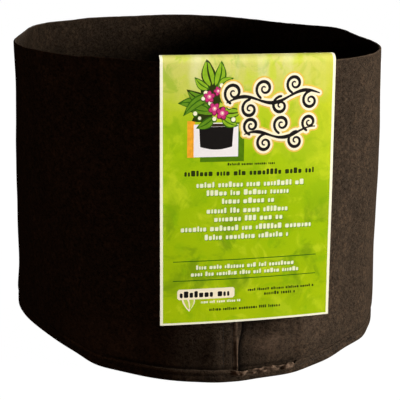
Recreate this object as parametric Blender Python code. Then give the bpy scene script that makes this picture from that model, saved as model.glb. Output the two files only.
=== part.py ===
"""Fabric grow bag with a folded card label.

A round plant bag sewn from two pieces of thick black felt: a strip rolled into a tube,
its ends lapped and sewn from top to bottom, and a round base whose edge is turned up
outside the tube and sewn round. The top edge is left raw. A stiff card label is bent over
the rim, with its long leaf in front and a short flap inside. It presses the soft rim flat
where it hangs, and lifts straight off.

The bag stands on its base: +Z is up and the label is at the front, towards -Y.
An angle round the bag is measured from the front and grows towards +X.
"""

from math import cos, exp, log, pi, radians, sin

import bmesh
import bpy
from mathutils import Vector

# Driving dimensions, in metres
BAG_RADIUS = 0.2286  # 18 in across when round
RIM_HEIGHT = 0.357  # 14 in
FELT = 0.0030  # thickness of the felt
GAP = 0.0003  # clearance between neighbouring pieces
FULL_TURN = 2.0 * pi

# The soft wall stands a little out of round: (lobes, depth as a share of the radius, degrees)
RIM_LOBES = ((2, 0.035, 33.0), (3, 0.016, 55.0), (4, 0.009, 39.0), (5, 0.010, 13.0), (6, 0.013, 4.0))
BASE_LOBES = ((2, 0.035, 37.0), (3, 0.023, 3.5), (4, 0.019, -6.0))
BASE_SPREAD = 1.017  # the foot stands a little wider than the rim
BASE_SHIFT = (0.0061, -0.0023)  # the base sits this far off the rim's middle, X and Y
FLAT_FACING = radians(11.0)  # the rim is pressed flat here, behind the card
FLAT_REACH = 0.2175  # distance of that flat from the bag's middle line
FLAT_EASE = 0.0020  # roundness of its two ends

# Side seam: the strip's outer end lies over its inner end
SEAM_EDGE = radians(12.2)  # cut edge of the outer end
LAP_WIDTH = 0.020
LAP_EASE = 0.026  # run over which the felt settles beside the lap
LAP_STEP = (FELT + GAP) / 2.0  # each end moves half a layer in or out

# Base panel
TURN_UP = 0.0160  # height of the turned-up edge
BEND_INSIDE = 0.0010  # inner radius of the bend
WALL_FOOT = FELT + BEND_INSIDE + GAP  # the strip's lower edge

# Sewing thread
THREAD_RADIUS = 0.0003
SEAM_ROWS = (0.005, 0.015)  # distance of the two rows from the cut edge
BASE_ROW_HEIGHT = 0.0085
THREAD_END = 0.0030  # the rows stop this far from the top edge
THREAD_SIDES = 6

# Card label; distances out are from the bag's middle line, in the direction the card faces
CARD = 0.0006
CARD_WIDTH = 0.1925
CARD_FACING = radians(11.0)
CARD_ASIDE = 0.0190  # the card's middle hangs this far to the right of that direction
CARD_OUT_RIM = 0.2231  # distance out at the rim's height; clears the lap and its thread
CARD_OUT_FOOT = 0.2429  # distance out at the foot
CARD_BOW = 0.0040  # the side edges stand back this much from the middle
CARD_FOOT = 0.0716  # height of the front leaf's lower edge at its middle
FOOT_SLANT = 0.0019  # the lower edge is this much lower at the left and higher at the right
CARD_BEND = 0.3545  # height where the card starts to bend over the rim
CARD_CREST = 0.3644  # top of the bend
CREST_SLANT = 0.0007
BEND_SQUARENESS = 2.4  # 2 is an ellipse; more is squarer
FLAP_OUT = (0.2024, 0.2000)  # distance out of the flap's left and right edges
CARD_FLAP = 0.060  # depth of the flap inside the rim

# Fineness
ROUND_STEPS = 84  # along the plain part of the circumference
LAP_STEPS = 3
EASE_STEPS = 4
WALL_ROWS = 4
BEND_STEPS = 3
CARD_STEPS = 16
LEAF_STEPS = 3
BEND_OVER_STEPS = 12


# ---------------------------------------------------------------- shape of the bag

def lobed(angle, lobes):
    """Radius, as a share of the bag's radius, of an outline made of soft lobes."""
    return 1.0 + sum(depth * cos(count * (angle - radians(at))) for count, depth, at in lobes)


def rim_radius(angle):
    """Radius of the rim's outer edge, pressed flat behind the card."""
    plain = BAG_RADIUS * lobed(angle, RIM_LOBES)
    facing = cos(angle - FLAT_FACING)
    if facing < 0.5:
        return plain
    over = (plain - FLAT_REACH / facing) / FLAT_EASE
    return plain - FLAT_EASE * log(1.0 + exp(over))


def felt_outside(angle, height):
    """Radius of the wall's outer face, before the lap lifts or lowers it."""
    base = BAG_RADIUS * BASE_SPREAD * lobed(angle, BASE_LOBES) - FELT - GAP
    return base + (rim_radius(angle) - base) * height / RIM_HEIGHT


def place(angle, radius, height):
    """A point at this angle and radius about the bag's leaning middle line."""
    lean = 1.0 - height / RIM_HEIGHT
    x = radius * sin(angle) + BASE_SHIFT[0] * lean
    y = -radius * cos(angle) + BASE_SHIFT[1] * lean
    return Vector((x, y, height))


def ease(value):
    """Smooth step from 0 to 1."""
    value = min(max(value, 0.0), 1.0)
    return value * value * (3.0 - 2.0 * value)


LAP_ANGLE = LAP_WIDTH / BAG_RADIUS
EASE_ANGLE = LAP_EASE / BAG_RADIUS
LAP_START = SEAM_EDGE - LAP_ANGLE


def lap_bump(angle):
    """1 over the lap, falling to 0 on both sides of it."""
    from_start = (angle - LAP_START + pi) % FULL_TURN - pi
    if from_start < 0.0:
        return ease(1.0 + from_start / EASE_ANGLE)
    return ease(1.0 - (from_start - LAP_ANGLE) / EASE_ANGLE)


def strip_shift(along):
    """Radial shift of the strip, whose inner end is at LAP_START and outer end a turn on."""
    dip = ease(1.0 - (along - SEAM_EDGE) / EASE_ANGLE)
    lift = ease(1.0 - (LAP_START + FULL_TURN - along) / EASE_ANGLE)
    return LAP_STEP * (lift - dip)


def steps(start, end, count):
    """Angles from start towards end, without the end itself."""
    return [start + (end - start) * i / count for i in range(count)]


def turn_angles():
    """Angles of one turn, closest together at the lap."""
    past = SEAM_EDGE + EASE_ANGLE
    before = LAP_START + FULL_TURN - EASE_ANGLE
    lap = steps(LAP_START, SEAM_EDGE, LAP_STEPS)
    right = steps(SEAM_EDGE, past, EASE_STEPS)
    plain = steps(past, before, ROUND_STEPS)
    left = steps(before, LAP_START + FULL_TURN, EASE_STEPS)
    return lap + right + plain + left


# ---------------------------------------------------------------- mesh helpers

def material(name, colour, roughness):
    mat = bpy.data.materials.new(name)
    mat.use_nodes = True
    shader = mat.node_tree.nodes["Principled BSDF"]
    shader.inputs["Base Color"].default_value = (*colour, 1.0)
    shader.inputs["Roughness"].default_value = roughness
    shader.inputs["Metallic"].default_value = 0.0
    return mat


def add_object(name, bm, mat, parent, smooth_below=40.0):
    """Turn a bmesh into a named object, smooth except at its corners."""
    bmesh.ops.recalc_face_normals(bm, faces=bm.faces)
    if bm.calc_volume(signed=True) < 0.0:
        bmesh.ops.reverse_faces(bm, faces=bm.faces)
    mesh = bpy.data.meshes.new(name)
    bm.to_mesh(mesh)
    bm.free()
    mesh.materials.append(mat)
    mesh.shade_smooth()
    mesh.set_sharp_from_angle(angle=radians(smooth_below))
    obj = bpy.data.objects.new(name, mesh)
    bpy.context.scene.collection.objects.link(obj)
    obj.parent = parent
    return obj


def skin(sections, closed):
    """Join equal rings of points into one closed body; open runs get a cap at each end."""
    bm = bmesh.new()
    rings = [[bm.verts.new(point) for point in ring] for ring in sections]
    size = len(rings[0])
    pairs = list(zip(rings, rings[1:]))
    if closed:
        pairs.append((rings[-1], rings[0]))
    for near, far in pairs:
        for i in range(size):
            j = (i + 1) % size
            bm.faces.new((near[i], near[j], far[j], far[i]))
    if not closed:
        bm.faces.new(rings[0])
        bm.faces.new(reversed(rings[-1]))
    return bm


def thread_ring(centre, out, across):
    """Points of a thread's section, in the plane of two directions."""
    turns = [FULL_TURN * i / THREAD_SIDES for i in range(THREAD_SIDES)]
    return [centre + THREAD_RADIUS * (out * cos(t) + across * sin(t)) for t in turns]


# ---------------------------------------------------------------- felt pieces

def wall_panel(mat, parent):
    """The strip, rolled round until its ends lap."""
    heights = [WALL_FOOT + (RIM_HEIGHT - WALL_FOOT) * i / WALL_ROWS for i in range(WALL_ROWS + 1)]
    lap = steps(LAP_START, SEAM_EDGE, LAP_STEPS)
    around = turn_angles() + [angle + FULL_TURN for angle in lap] + [SEAM_EDGE + FULL_TURN]
    sections = []
    for angle in around:
        shift = strip_shift(angle)
        outer = [place(angle, felt_outside(angle, z) + shift, z) for z in heights]
        inner = [place(angle, felt_outside(angle, z) + shift - FELT, z) for z in heights]
        sections.append(outer + inner[::-1])
    return add_object("wall_panel", skin(sections, closed=False), mat, parent)


def base_panel(mat, parent):
    """The round base with its edge bent up and lying against the outside of the strip."""
    bend = FELT + BEND_INSIDE
    arc = [pi / 2.0 * i / BEND_STEPS for i in range(BEND_STEPS + 1)]
    angles = turn_angles()
    bm = bmesh.new()
    underside = bm.verts.new(place(0.0, 0.0, 0.0))
    topside = bm.verts.new(place(0.0, 0.0, FELT))
    rings = []
    for angle in angles:
        bump = LAP_STEP * lap_bump(angle)

        def outer(back, z):
            return place(angle, felt_outside(angle, z) + bump + GAP + FELT - back, z)

        inset = [(bend * (1.0 - sin(t)), bend * (1.0 - cos(t))) for t in arc]
        inside = [(FELT + BEND_INSIDE * (1.0 - sin(t)), bend - BEND_INSIDE * cos(t)) for t in arc]
        under = place(angle, 0.5 * felt_outside(angle, 0.0), 0.0)
        over = place(angle, 0.5 * felt_outside(angle, 0.0), FELT)
        ring = [under] + [outer(back, z) for back, z in inset]
        ring += [outer(0.0, TURN_UP), outer(FELT, TURN_UP)]
        ring += [outer(back, z) for back, z in reversed(inside)] + [over]
        rings.append([bm.verts.new(point) for point in ring])
    for near, far in zip(rings, rings[1:] + rings[:1]):
        for i in range(len(near) - 1):
            bm.faces.new((near[i], near[i + 1], far[i + 1], far[i]))
        bm.faces.new((underside, near[0], far[0]))
        bm.faces.new((topside, far[-1], near[-1]))
    return add_object("base_panel", bm, mat, parent)


# ---------------------------------------------------------------- sewing thread

def seam_thread(name, from_edge, outside, mat, parent):
    """One straight row of the side seam, on one face of the lap."""
    angle = SEAM_EDGE - from_edge / BAG_RADIUS
    across = Vector((cos(angle), sin(angle), 0.0))
    out = Vector((sin(angle), -cos(angle), 0.0))
    if outside:
        foot = TURN_UP + THREAD_END
        offset = LAP_STEP + GAP + THREAD_RADIUS
    else:
        foot = BASE_ROW_HEIGHT + THREAD_END
        offset = -LAP_STEP - FELT - GAP - THREAD_RADIUS
    ends = []
    for z in (foot, RIM_HEIGHT - THREAD_END):
        ends.append(place(angle, felt_outside(angle, z) + offset, z))
    sections = [thread_ring(centre, out, across) for centre in ends]
    return add_object(name, skin(sections, closed=False), mat, parent, smooth_below=70.0)


def base_thread(name, outside, mat, parent):
    """The row round the foot, on the turned-up edge outside or on the wall inside."""
    up = Vector((0.0, 0.0, 1.0))
    sections = []
    for angle in turn_angles():
        out = Vector((sin(angle), -cos(angle), 0.0))
        bump = LAP_STEP * lap_bump(angle)
        if outside:
            offset = bump + GAP + FELT + GAP + THREAD_RADIUS
        else:
            offset = -bump - FELT - GAP - THREAD_RADIUS
        radius = felt_outside(angle, BASE_ROW_HEIGHT) + offset
        centre = place(angle, radius, BASE_ROW_HEIGHT)
        sections.append(thread_ring(centre, out, up))
    return add_object(name, skin(sections, closed=True), mat, parent, smooth_below=70.0)


# ---------------------------------------------------------------- card label

def card_point(side, out, height):
    """A point at a distance out from the middle line; side is -1 at the left edge, 1 at the right."""
    across = CARD_ASIDE + side * CARD_WIDTH / 2.0
    x = out * sin(CARD_FACING) + across * cos(CARD_FACING)
    y = -out * cos(CARD_FACING) + across * sin(CARD_FACING)
    return Vector((x, y, height))


def card_line(side, depth):
    """The card's section from the foot of the leaf, over the rim, to the foot of the flap.

    depth is 0 on the face that touches the bag and 1 on the card's other face.
    """
    grow = CARD * depth
    back_off = CARD_BOW * side * side
    lowest = CARD_FOOT + FOOT_SLANT * side
    points = []
    for i in range(LEAF_STEPS):
        z = lowest + (CARD_BEND - lowest) * i / LEAF_STEPS
        sink = (RIM_HEIGHT - z) / (RIM_HEIGHT - CARD_FOOT)
        out = CARD_OUT_RIM + (CARD_OUT_FOOT - CARD_OUT_RIM) * sink - back_off
        points.append(card_point(side, out + grow, z))
    front = CARD_OUT_RIM - back_off
    back = FLAP_OUT[0] + (FLAP_OUT[1] - FLAP_OUT[0]) * (side + 1.0) / 2.0
    middle, half = (front + back) / 2.0, (front - back) / 2.0 + grow
    rise = CARD_CREST + CREST_SLANT * side - CARD_BEND + grow
    power = 2.0 / BEND_SQUARENESS
    for i in range(BEND_OVER_STEPS + 1):
        turn = pi * i / BEND_OVER_STEPS
        level = cos(turn)
        level = abs(level) ** power * (1.0 if level > 0.0 else -1.0)
        points.append(card_point(side, middle + half * level, CARD_BEND + rise * abs(sin(turn)) ** power))
    points.append(card_point(side, back - grow, RIM_HEIGHT - CARD_FLAP))
    return points


def label_card(mat, parent):
    """The card, a thin sheet bent over the rim; its object sits on the bend's top."""
    sections = []
    for i in range(CARD_STEPS + 1):
        side = 2.0 * i / CARD_STEPS - 1.0
        sections.append(card_line(side, 1.0) + card_line(side, 0.0)[::-1])
    seat = sections[CARD_STEPS // 2][LEAF_STEPS + BEND_OVER_STEPS // 2].copy()
    sections = [[point - seat for point in ring] for ring in sections]
    obj = add_object("label_card", skin(sections, closed=False), mat, parent)
    obj.location = seat
    return obj


# ---------------------------------------------------------------- assembly

def centre_on_ground(root, pieces):
    """Move the whole bag so that the frame's origin is under the middle of its box."""
    bpy.context.view_layer.update()
    corners = [piece.matrix_world @ vert.co for piece in pieces for vert in piece.data.vertices]
    middle_x = (min(c.x for c in corners) + max(c.x for c in corners)) / 2.0
    middle_y = (min(c.y for c in corners) + max(c.y for c in corners)) / 2.0
    root.location = (-middle_x, -middle_y, 0.0)


def main():
    for old in list(bpy.data.objects):
        bpy.data.objects.remove(old, do_unlink=True)
    root = bpy.data.objects.new("grow_bag", None)
    bpy.context.scene.collection.objects.link(root)

    felt = (0.024, 0.018, 0.013)
    wall_felt = material("wall_felt", felt, 0.95)
    base_felt = material("base_felt", felt, 0.95)
    pieces = [wall_panel(wall_felt, root), base_panel(base_felt, root)]
    for row, from_edge in enumerate(SEAM_ROWS, start=1):
        for face, outside in (("needle", True), ("bobbin", False)):
            name = f"side_seam_{face}_thread_{row}"
            thread = material(name, (0.012, 0.010, 0.009), 0.6)
            pieces.append(seam_thread(name, from_edge, outside, thread, root))
    for face, outside in (("needle", True), ("bobbin", False)):
        name = f"base_seam_{face}_thread"
        thread = material(name, (0.012, 0.010, 0.009), 0.6)
        pieces.append(base_thread(name, outside, thread, root))
    card = material("label_card", (0.33, 0.52, 0.03), 0.45)
    pieces.append(label_card(card, root))
    centre_on_ground(root, pieces)


main()
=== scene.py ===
import random
from math import atan2, copysign, cos, pi, radians, sin

import bpy
import numpy as np
from mathutils import Matrix, Vector, geometry, noise


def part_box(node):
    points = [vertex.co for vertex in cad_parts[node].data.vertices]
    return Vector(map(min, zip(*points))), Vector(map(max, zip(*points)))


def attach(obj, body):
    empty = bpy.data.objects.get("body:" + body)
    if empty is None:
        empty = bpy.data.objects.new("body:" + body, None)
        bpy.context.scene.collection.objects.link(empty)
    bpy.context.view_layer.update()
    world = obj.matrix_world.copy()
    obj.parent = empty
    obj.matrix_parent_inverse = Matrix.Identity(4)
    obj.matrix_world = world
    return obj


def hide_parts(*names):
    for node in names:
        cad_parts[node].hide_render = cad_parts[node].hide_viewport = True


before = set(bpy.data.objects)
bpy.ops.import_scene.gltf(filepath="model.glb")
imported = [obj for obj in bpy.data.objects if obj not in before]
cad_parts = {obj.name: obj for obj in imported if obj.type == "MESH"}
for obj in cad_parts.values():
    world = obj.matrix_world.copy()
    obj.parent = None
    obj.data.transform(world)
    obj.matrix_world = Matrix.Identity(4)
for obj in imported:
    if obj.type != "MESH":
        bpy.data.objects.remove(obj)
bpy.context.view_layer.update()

TURN = 2 * pi
MM = 0.001

# Lengths are in metres. Angles go round the bag from the front, -Y, positive towards +X.


# ======== curves

def wrapped(angle):
    """The angle brought to -pi..pi."""
    return (angle + pi) % TURN - pi


def ease(value):
    """A smooth step from 0 at 0 to 1 at 1."""
    value = np.clip(value, 0, 1)
    return value * value * (3 - 2 * value)


def rising(value, start, width):
    """0 up to the start, then a smooth rise to 1 over the width."""
    return ease((value - start) / width)


def falling(value, end, width):
    """1, then a smooth fall over the width to 0 at the end."""
    return ease((end - value) / width)


def hump(distance, reach):
    """1 at no distance, falling off as a bell."""
    return np.exp(-(distance / reach) ** 2)


def hump_at(angle, at, reach):
    """1 at a place in degrees, falling off to both sides over a reach in degrees."""
    return hump(wrapped(angle - radians(at)), radians(reach))


def spread(*runs):
    """Positions along a line made of runs, each given as (end, step), from 0."""
    places = [0]
    for end, step in runs:
        start = places[-1]
        count = max(1, round((end - start) / step))
        places += [start + (end - start) * (i + 1) / count for i in range(count)]
    return np.array(places)


def noise_at(points, scale, seed=0):
    """Smooth noise from -1 to 1 at each point of an array."""
    flat = np.asarray(points, float).reshape(-1, 3) * scale + seed
    values = np.array([noise.noise(Vector(p)) for p in flat])
    return values.reshape(np.asarray(points).shape[:-1])


# ======== shape of the bag
# The same out-of-round outlines as the CAD solids, about the bag's own leaning middle line.

BAG_RADIUS = 0.2286
WALL_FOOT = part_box("wall_panel")[0].z
RIM_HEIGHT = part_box("wall_panel")[1].z
TURN_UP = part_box("base_panel")[1].z  # top of the base's turned-up edge
FELT = 0.003
GAP = 0.0003  # between pieces that touch on the real bag
# Lobes: how many go round, their depth as a share of the radius, and where one points, in degrees.
RIM_LOBES = ((2, 0.035, 33), (3, 0.016, 55), (4, 0.009, 39), (5, 0.01, 13), (6, 0.013, 4))
BASE_LOBES = ((2, 0.035, 37), (3, 0.023, 3.5), (4, 0.019, -6))
BASE_SPREAD = 1.017
BASE_SHIFT = (0.0061, -0.0023)  # how far the foot stands off below the rim
# Soft corners that the round base has pulled into: place and reach in degrees, and how far out in mm.
BASE_CORNERS = ((-29, 7, 5.5), (29, 7, 4.5), (41, 6, 2), (53, 5, -1.4), (64, 5, 2.4), (-62, 14, -1.4))
FLAT_FACING = radians(11)  # the rim is pressed flat on this side, behind the card
FLAT_REACH = 0.2175
FLAT_EASE = 0.002
SEAM_EDGE = radians(12.2)  # where the lap's outer end lies
LAP_WIDTH = 0.02
LAP_STEP = (FELT + GAP) / 2  # half the lap's extra thickness, taken by each of its ends
LAP_ANGLE = LAP_WIDTH / BAG_RADIUS
EASE_ANGLE = 0.026 / BAG_RADIUS
LAP_START = SEAM_EDGE - LAP_ANGLE
SEAM_ROWS = (0.005, 0.015)  # the side seam's sewn rows, from the lap's outer end
BASE_ROW_HEIGHT = 0.0085


def lobed(angle, lobes):
    return 1 + sum(depth * np.cos(count * (angle - radians(at))) for count, depth, at in lobes)


def plain_base_radius(angle):
    """Radius of the wall at the ground, as in the CAD."""
    return BAG_RADIUS * BASE_SPREAD * lobed(angle, BASE_LOBES) - FELT - GAP


def base_radius(angle):
    corners = sum(out * hump_at(angle, at, reach) for at, reach, out in BASE_CORNERS)
    return plain_base_radius(angle) + MM * corners


def rim_radius(angle):
    """Radius of the rim's outer edge, pressed flat behind the card."""
    plain = BAG_RADIUS * lobed(angle, RIM_LOBES)
    facing = np.cos(angle - FLAT_FACING)
    over = (plain - FLAT_REACH / np.maximum(facing, 0.3)) / FLAT_EASE
    return plain - FLAT_EASE * np.logaddexp(0, over)


def felt_outside(angle, height):
    """Radius of the wall's outer face, before the lap lifts or lowers it."""
    base = base_radius(angle)
    return base + (rim_radius(angle) - base) * height / RIM_HEIGHT


def about_axis(angle, radius, height):
    """Points at an angle and a radius about the middle line, as if it rose from the origin."""
    lean = 1 - height / RIM_HEIGHT
    x = radius * np.sin(angle) + BASE_SHIFT[0] * lean
    y = -radius * np.cos(angle) + BASE_SHIFT[1] * lean
    return np.stack(np.broadcast_arrays(x, y, height + 0 * x), axis=-1)


def find_axis():
    """Where the bag's middle line stands, from the wall's box in the frame."""
    low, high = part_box("wall_panel")
    around = np.radians(np.arange(0, 360, 0.25))
    base, rim = plain_base_radius(around), rim_radius(around)
    rings = [about_axis(around, base + (rim - base) * z / RIM_HEIGHT, z) for z in (WALL_FOOT, RIM_HEIGHT)]
    points = np.concatenate(rings)
    middle = (points.min(axis=0) + points.max(axis=0)) / 2
    return np.array([(low.x + high.x) / 2 - middle[0], (low.y + high.y) / 2 - middle[1], 0])


AXIS = find_axis()


def place(angle, radius, height):
    """Points of the bag in the frame."""
    return about_axis(angle, radius, height) + AXIS


def lap_bump(angle):
    """1 over the lap, falling to 0 on both sides of it."""
    from_start = wrapped(angle - LAP_START)
    left = ease(1 + from_start / EASE_ANGLE)
    right = ease(1 - (from_start - LAP_ANGLE) / EASE_ANGLE)
    return np.where(from_start < 0, left, right)


def strip_shift(along):
    """How far the strip steps in at its inner end and out at its outer end."""
    dip = ease(1 - (along - SEAM_EDGE) / EASE_ANGLE)
    lift = ease(1 - (LAP_START + TURN - along) / EASE_ANGLE)
    return LAP_STEP * (lift - dip)


# ---- the soft wall's unevenness

SETTLING = 0.0032  # how far the wall settles out over the turned-up edge
SPARED_AT = radians(7)  # but not this side, beside the seam
SPARED_REACH = radians(21)
# Dents (below 0) and bulges of the free wall: place and reach in degrees, height, its reach and depth in mm.
DENTS = (
    (-91, 15, 335, 55, -3.4), (-119, 9, 345, 50, 2.2), (-86, 18, 56, 38, -3), (99, 9, 345, 50, -1.6),
    (92, 12, 290, 40, 1.4), (150, 10, 160, 120, 3.4), (176, 9, 210, 110, -3.6), (-160, 9, 140, 110, 3.6),
    (-138, 8, 200, 120, -3), (128, 8, 110, 90, -2.6),
)
# Hollows and swellings beside the foot of the side seam, in the same columns.
SEAM_DENTS = ((23, 6, 34, 13, 2.2), (6, 3, 40, 28, 1.2), (17.5, 3.6, 60, 24, -2.6))
BROAD_WAVES = 0.0011
SMALL_WAVES = 0.0005
BELLY_SIDES = 0.0022
BELLY_RIGHT = 0.003
# Rises and dips of the cut rim: place and reach in degrees, height in mm.
RIM_RISES = ((-175, 22, 2.6), (118, 12, 2.6), (-142, 8, 1.2), (150, 12, -0.8))
NICK_AT = radians(-33.7)
NICK_REACH = radians(7)
NICK_DEPTH = 0.0017


def over_band(angle, height):
    """How far the wall settles out over the turned-up edge, everywhere but beside the seam."""
    off_seam = rising(np.abs(wrapped(angle - SPARED_AT)), SPARED_REACH, radians(4))
    return SETTLING * off_seam * rising(height, 0.008, 0.016) * falling(height, 0.115, 0.091)


def dented(angle, height, dents):
    return sum(depth * hump_at(angle, at, reach) * hump(height - level * MM, rise * MM)
               for at, reach, level, rise, depth in dents)


def slump(angle, height):
    """How far the soft wall stands in or out of its plain shape."""
    on_wall = about_axis(angle, BAG_RADIUS, height)
    uneven = BROAD_WAVES * noise_at(on_wall, 9, 3.1) + SMALL_WAVES * noise_at(on_wall, 26, 7.7)
    rise = np.clip(height / RIM_HEIGHT, 0, 1)
    turned = wrapped(angle - FLAT_FACING)
    sides = 1 - np.cos(np.clip((np.abs(turned) - radians(38)) * 2.6, 0, pi))
    right = hump(turned - radians(72), radians(30))
    belly = BELLY_SIDES * sides * np.sin(pi * rise ** 0.85) + BELLY_RIGHT * right * np.sin(pi * rise ** 1.5)
    uneven = uneven + MM * dented(angle, height, DENTS)
    return belly + over_band(angle, height) + ease(height / 0.05) * uneven


def rim_wave(angle):
    """Unevenness of the hand-cut top edge, with one small nick at the front left."""
    a = wrapped(angle)
    points = np.stack([np.cos(a), np.sin(a), 0 * a], axis=-1)
    wave = 0.0007 * noise_at(points, 3, 1.3) + 0.0003 * noise_at(points, 14, 5.9)
    from_nick = NICK_AT - a
    nick = np.where(from_nick > 0, np.exp(-from_nick / NICK_REACH), 0)
    return wave + MM * sum(up * hump_at(a, at, reach) for at, reach, up in RIM_RISES) - NICK_DEPTH * nick


# ======== mesh helpers

def link(name, data):
    thing = bpy.data.objects.new(name, data)
    bpy.context.scene.collection.objects.link(thing)
    return thing


def new_piece(name, vertices, faces, materials, face_slots=None, sharp=None):
    """A smooth-shaded object, sharp only past an angle in degrees if one is given."""
    mesh = bpy.data.meshes.new(name)
    mesh.from_pydata([tuple(v) for v in vertices], [], faces)
    for mat in materials:
        mesh.materials.append(mat)
    if face_slots is not None:
        mesh.polygons.foreach_set("material_index", face_slots)
    mesh.shade_smooth()
    if sharp is not None:
        mesh.set_sharp_from_angle(angle=radians(sharp))
    mesh.update()
    return link(name, mesh)


def add_uv(piece, flat_points):
    """Give the piece a UV map in metres, one flat point for each vertex."""
    layer = piece.data.uv_layers.new(name="flat")
    index = np.zeros(len(piece.data.loops), int)
    piece.data.loops.foreach_get("vertex_index", index)
    layer.data.foreach_set("uv", np.asarray(flat_points, float)[index].ravel())


def add_shade(piece, values):
    """Mark painted shade on the felt (below 0), in creases and shadowed places, and paler felt (above 0),
    where raw edges fluff up or a highlight is painted.
    """
    layer = piece.data.attributes.new("shade", "FLOAT", "POINT")
    layer.data.foreach_set("value", np.asarray(values, float).ravel())


def grid_faces(columns, size, columns_close, rings_close):
    """Quads between neighbouring rings of equal size."""
    faces = []
    for i in range(columns if columns_close else columns - 1):
        a, b = i * size, (i + 1) % columns * size
        for k in range(size if rings_close else size - 1):
            j = (k + 1) % size
            faces.append((a + k, b + k, b + j, a + j))
    return faces


def tube(path, radius, sides=6, tip=0.45):
    """Vertices and faces of a round cord along a list of points, narrowed to a tip at both ends."""
    path = [Vector(p) for p in path]
    last = len(path) - 1
    vertices, faces = [], []
    for i, point in enumerate(path):
        ahead = (path[min(i + 1, last)] - path[max(i - 1, 0)]).normalized()
        side = ahead.cross(Vector((0.31, 0.27, 0.91))).normalized()
        up = side.cross(ahead)
        reach = radius * (tip if i in (0, last) else 1)
        for k in range(sides):
            t, a, b = TURN * k / sides, i * sides, i * sides + (k + 1) % sides
            vertices.append(point + reach * (side * cos(t) + up * sin(t)))
            if i < last:
                faces.append((a + k, b, b + sides, a + k + sides))
    faces.append(tuple(range(sides))[::-1])
    faces.append(tuple(range(last * sides, (last + 1) * sides)))
    return vertices, faces


def gather(parts):
    """Join several (vertices, faces) into one."""
    vertices, faces = [], []
    for some, sides in parts:
        start = len(vertices)
        vertices.extend(some)
        faces.extend(tuple(start + i for i in face) for face in sides)
    return vertices, faces


# ======== material helpers

WHITE = (1, 1, 1, 1)


def srgb(*rgb):
    """Linear colour from 0-255 values."""
    shares = [c / 255 for c in rgb]
    return (*(c / 12.92 if c <= 0.04045 else ((c + 0.055) / 1.055) ** 2.4 for c in shares), 1)


def scaled(colour, k):
    return (*(min(c * k, 1) for c in colour[:3]), 1)


class Nodes:
    """Short forms for building one material's node tree."""

    def __init__(self, name, roughness, specular=0.5):
        self.mat = bpy.data.materials.new(name)
        self.mat.use_nodes = True
        self.tree = self.mat.node_tree
        self.shader = self.tree.nodes["Principled BSDF"]
        self.set(Roughness=roughness, **{"Specular IOR Level": specular})

    def set(self, **values):
        for name, value in values.items():
            self.shader.inputs[name.replace("_", " ")].default_value = value

    def add(self, kind, inputs=(), **settings):
        node = self.tree.nodes.new("ShaderNode" + kind)
        for name, value in settings.items():
            setattr(node, name, value)
        for name, value in dict(inputs).items():
            if isinstance(value, bpy.types.NodeSocket):
                self.tree.links.new(value, node.inputs[name])
            else:
                node.inputs[name].default_value = value
        return node

    def coords(self, kind="UV"):
        return self.add("TexCoord").outputs[kind]

    def moved(self, vector, scale=(1, 1, 1), turn=0, shift=(0, 0, 0)):
        turned = self.add("Mapping", {0: vector, 1: shift, 2: (0, 0, turn)})
        return self.add("VectorMath", {0: turned.outputs[0], 1: scale}, operation="MULTIPLY").outputs[0]

    def noise(self, vector, scale, detail=3, rough=0.55, warp=0, flat=False):
        values = {"Vector": vector, "Scale": scale, "Detail": detail, "Roughness": rough, "Distortion": warp}
        return self.add("TexNoise", values, noise_dimensions="2D" if flat else "3D").outputs[0]

    def remap(self, value, low, high, to_low=0, to_high=1):
        given = {0: value, 1: low, 2: high, 3: to_low, 4: to_high}
        return self.add("MapRange", given, interpolation_type="SMOOTHSTEP").outputs[0]

    def math(self, operation, a, b):
        return self.add("Math", {0: a, 1: b}, operation=operation).outputs[0]

    def times(self, first, *others):
        for other in others:
            first = self.math("MULTIPLY", first, other)
        return first

    def mix(self, factor, a, b, blend="MIX"):
        return self.add("Mix", {0: factor, 6: a, 7: b}, data_type="RGBA", blend_type=blend).outputs[2]

    def ramp(self, value, stops):
        node = self.add("ValToRGB", {0: value})
        elements = node.color_ramp.elements
        while len(elements) < len(stops):
            elements.new(0.5)
        for element, (position, colour) in zip(elements, stops):
            element.position = position
            element.color = colour
        return node.outputs[0]

    def darken(self, colour, pattern, low, high, depth):
        """Dim a colour to the share depth where the pattern is low, and not at all where it is high."""
        share = self.ramp(pattern, ((low, scaled(WHITE, depth)), (high, WHITE)))
        return self.mix(1, colour, share, "MULTIPLY")

    def bump(self, height, strength, distance):
        node = self.add("Bump", {"Strength": strength, "Distance": distance, "Height": height})
        self.tree.links.new(node.outputs[0], self.shader.inputs["Normal"])

    def colour(self, socket):
        self.tree.links.new(socket, self.shader.inputs["Base Color"])
        return self.mat


# ======== materials

# Linear colours of the felt's parts.
FELT_DARK = (0.03, 0.0195, 0.0118)
FELT_LIGHT = (0.166, 0.106, 0.0655)
FELT_PIT = (0.014, 0.0095, 0.006)
FELT_GAP = (0.017, 0.011, 0.007)
FELT_STRAND = (0.185, 0.14, 0.098)
# the next two: pale fluff with painted highlight, and painted shade, mixed in where add_shade marks
FELT_FLUFF_AND_HIGHLIGHT = (0.32, 0.225, 0.16, 1)
FELT_PAINTED_SHADE = (0.004, 0.0025, 0.0015, 1)
STRAND_SCALE = (150, 1900, 1)  # along and across a fibre, per metre
TUFT_SCALE = (120, 480, 1)


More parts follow.
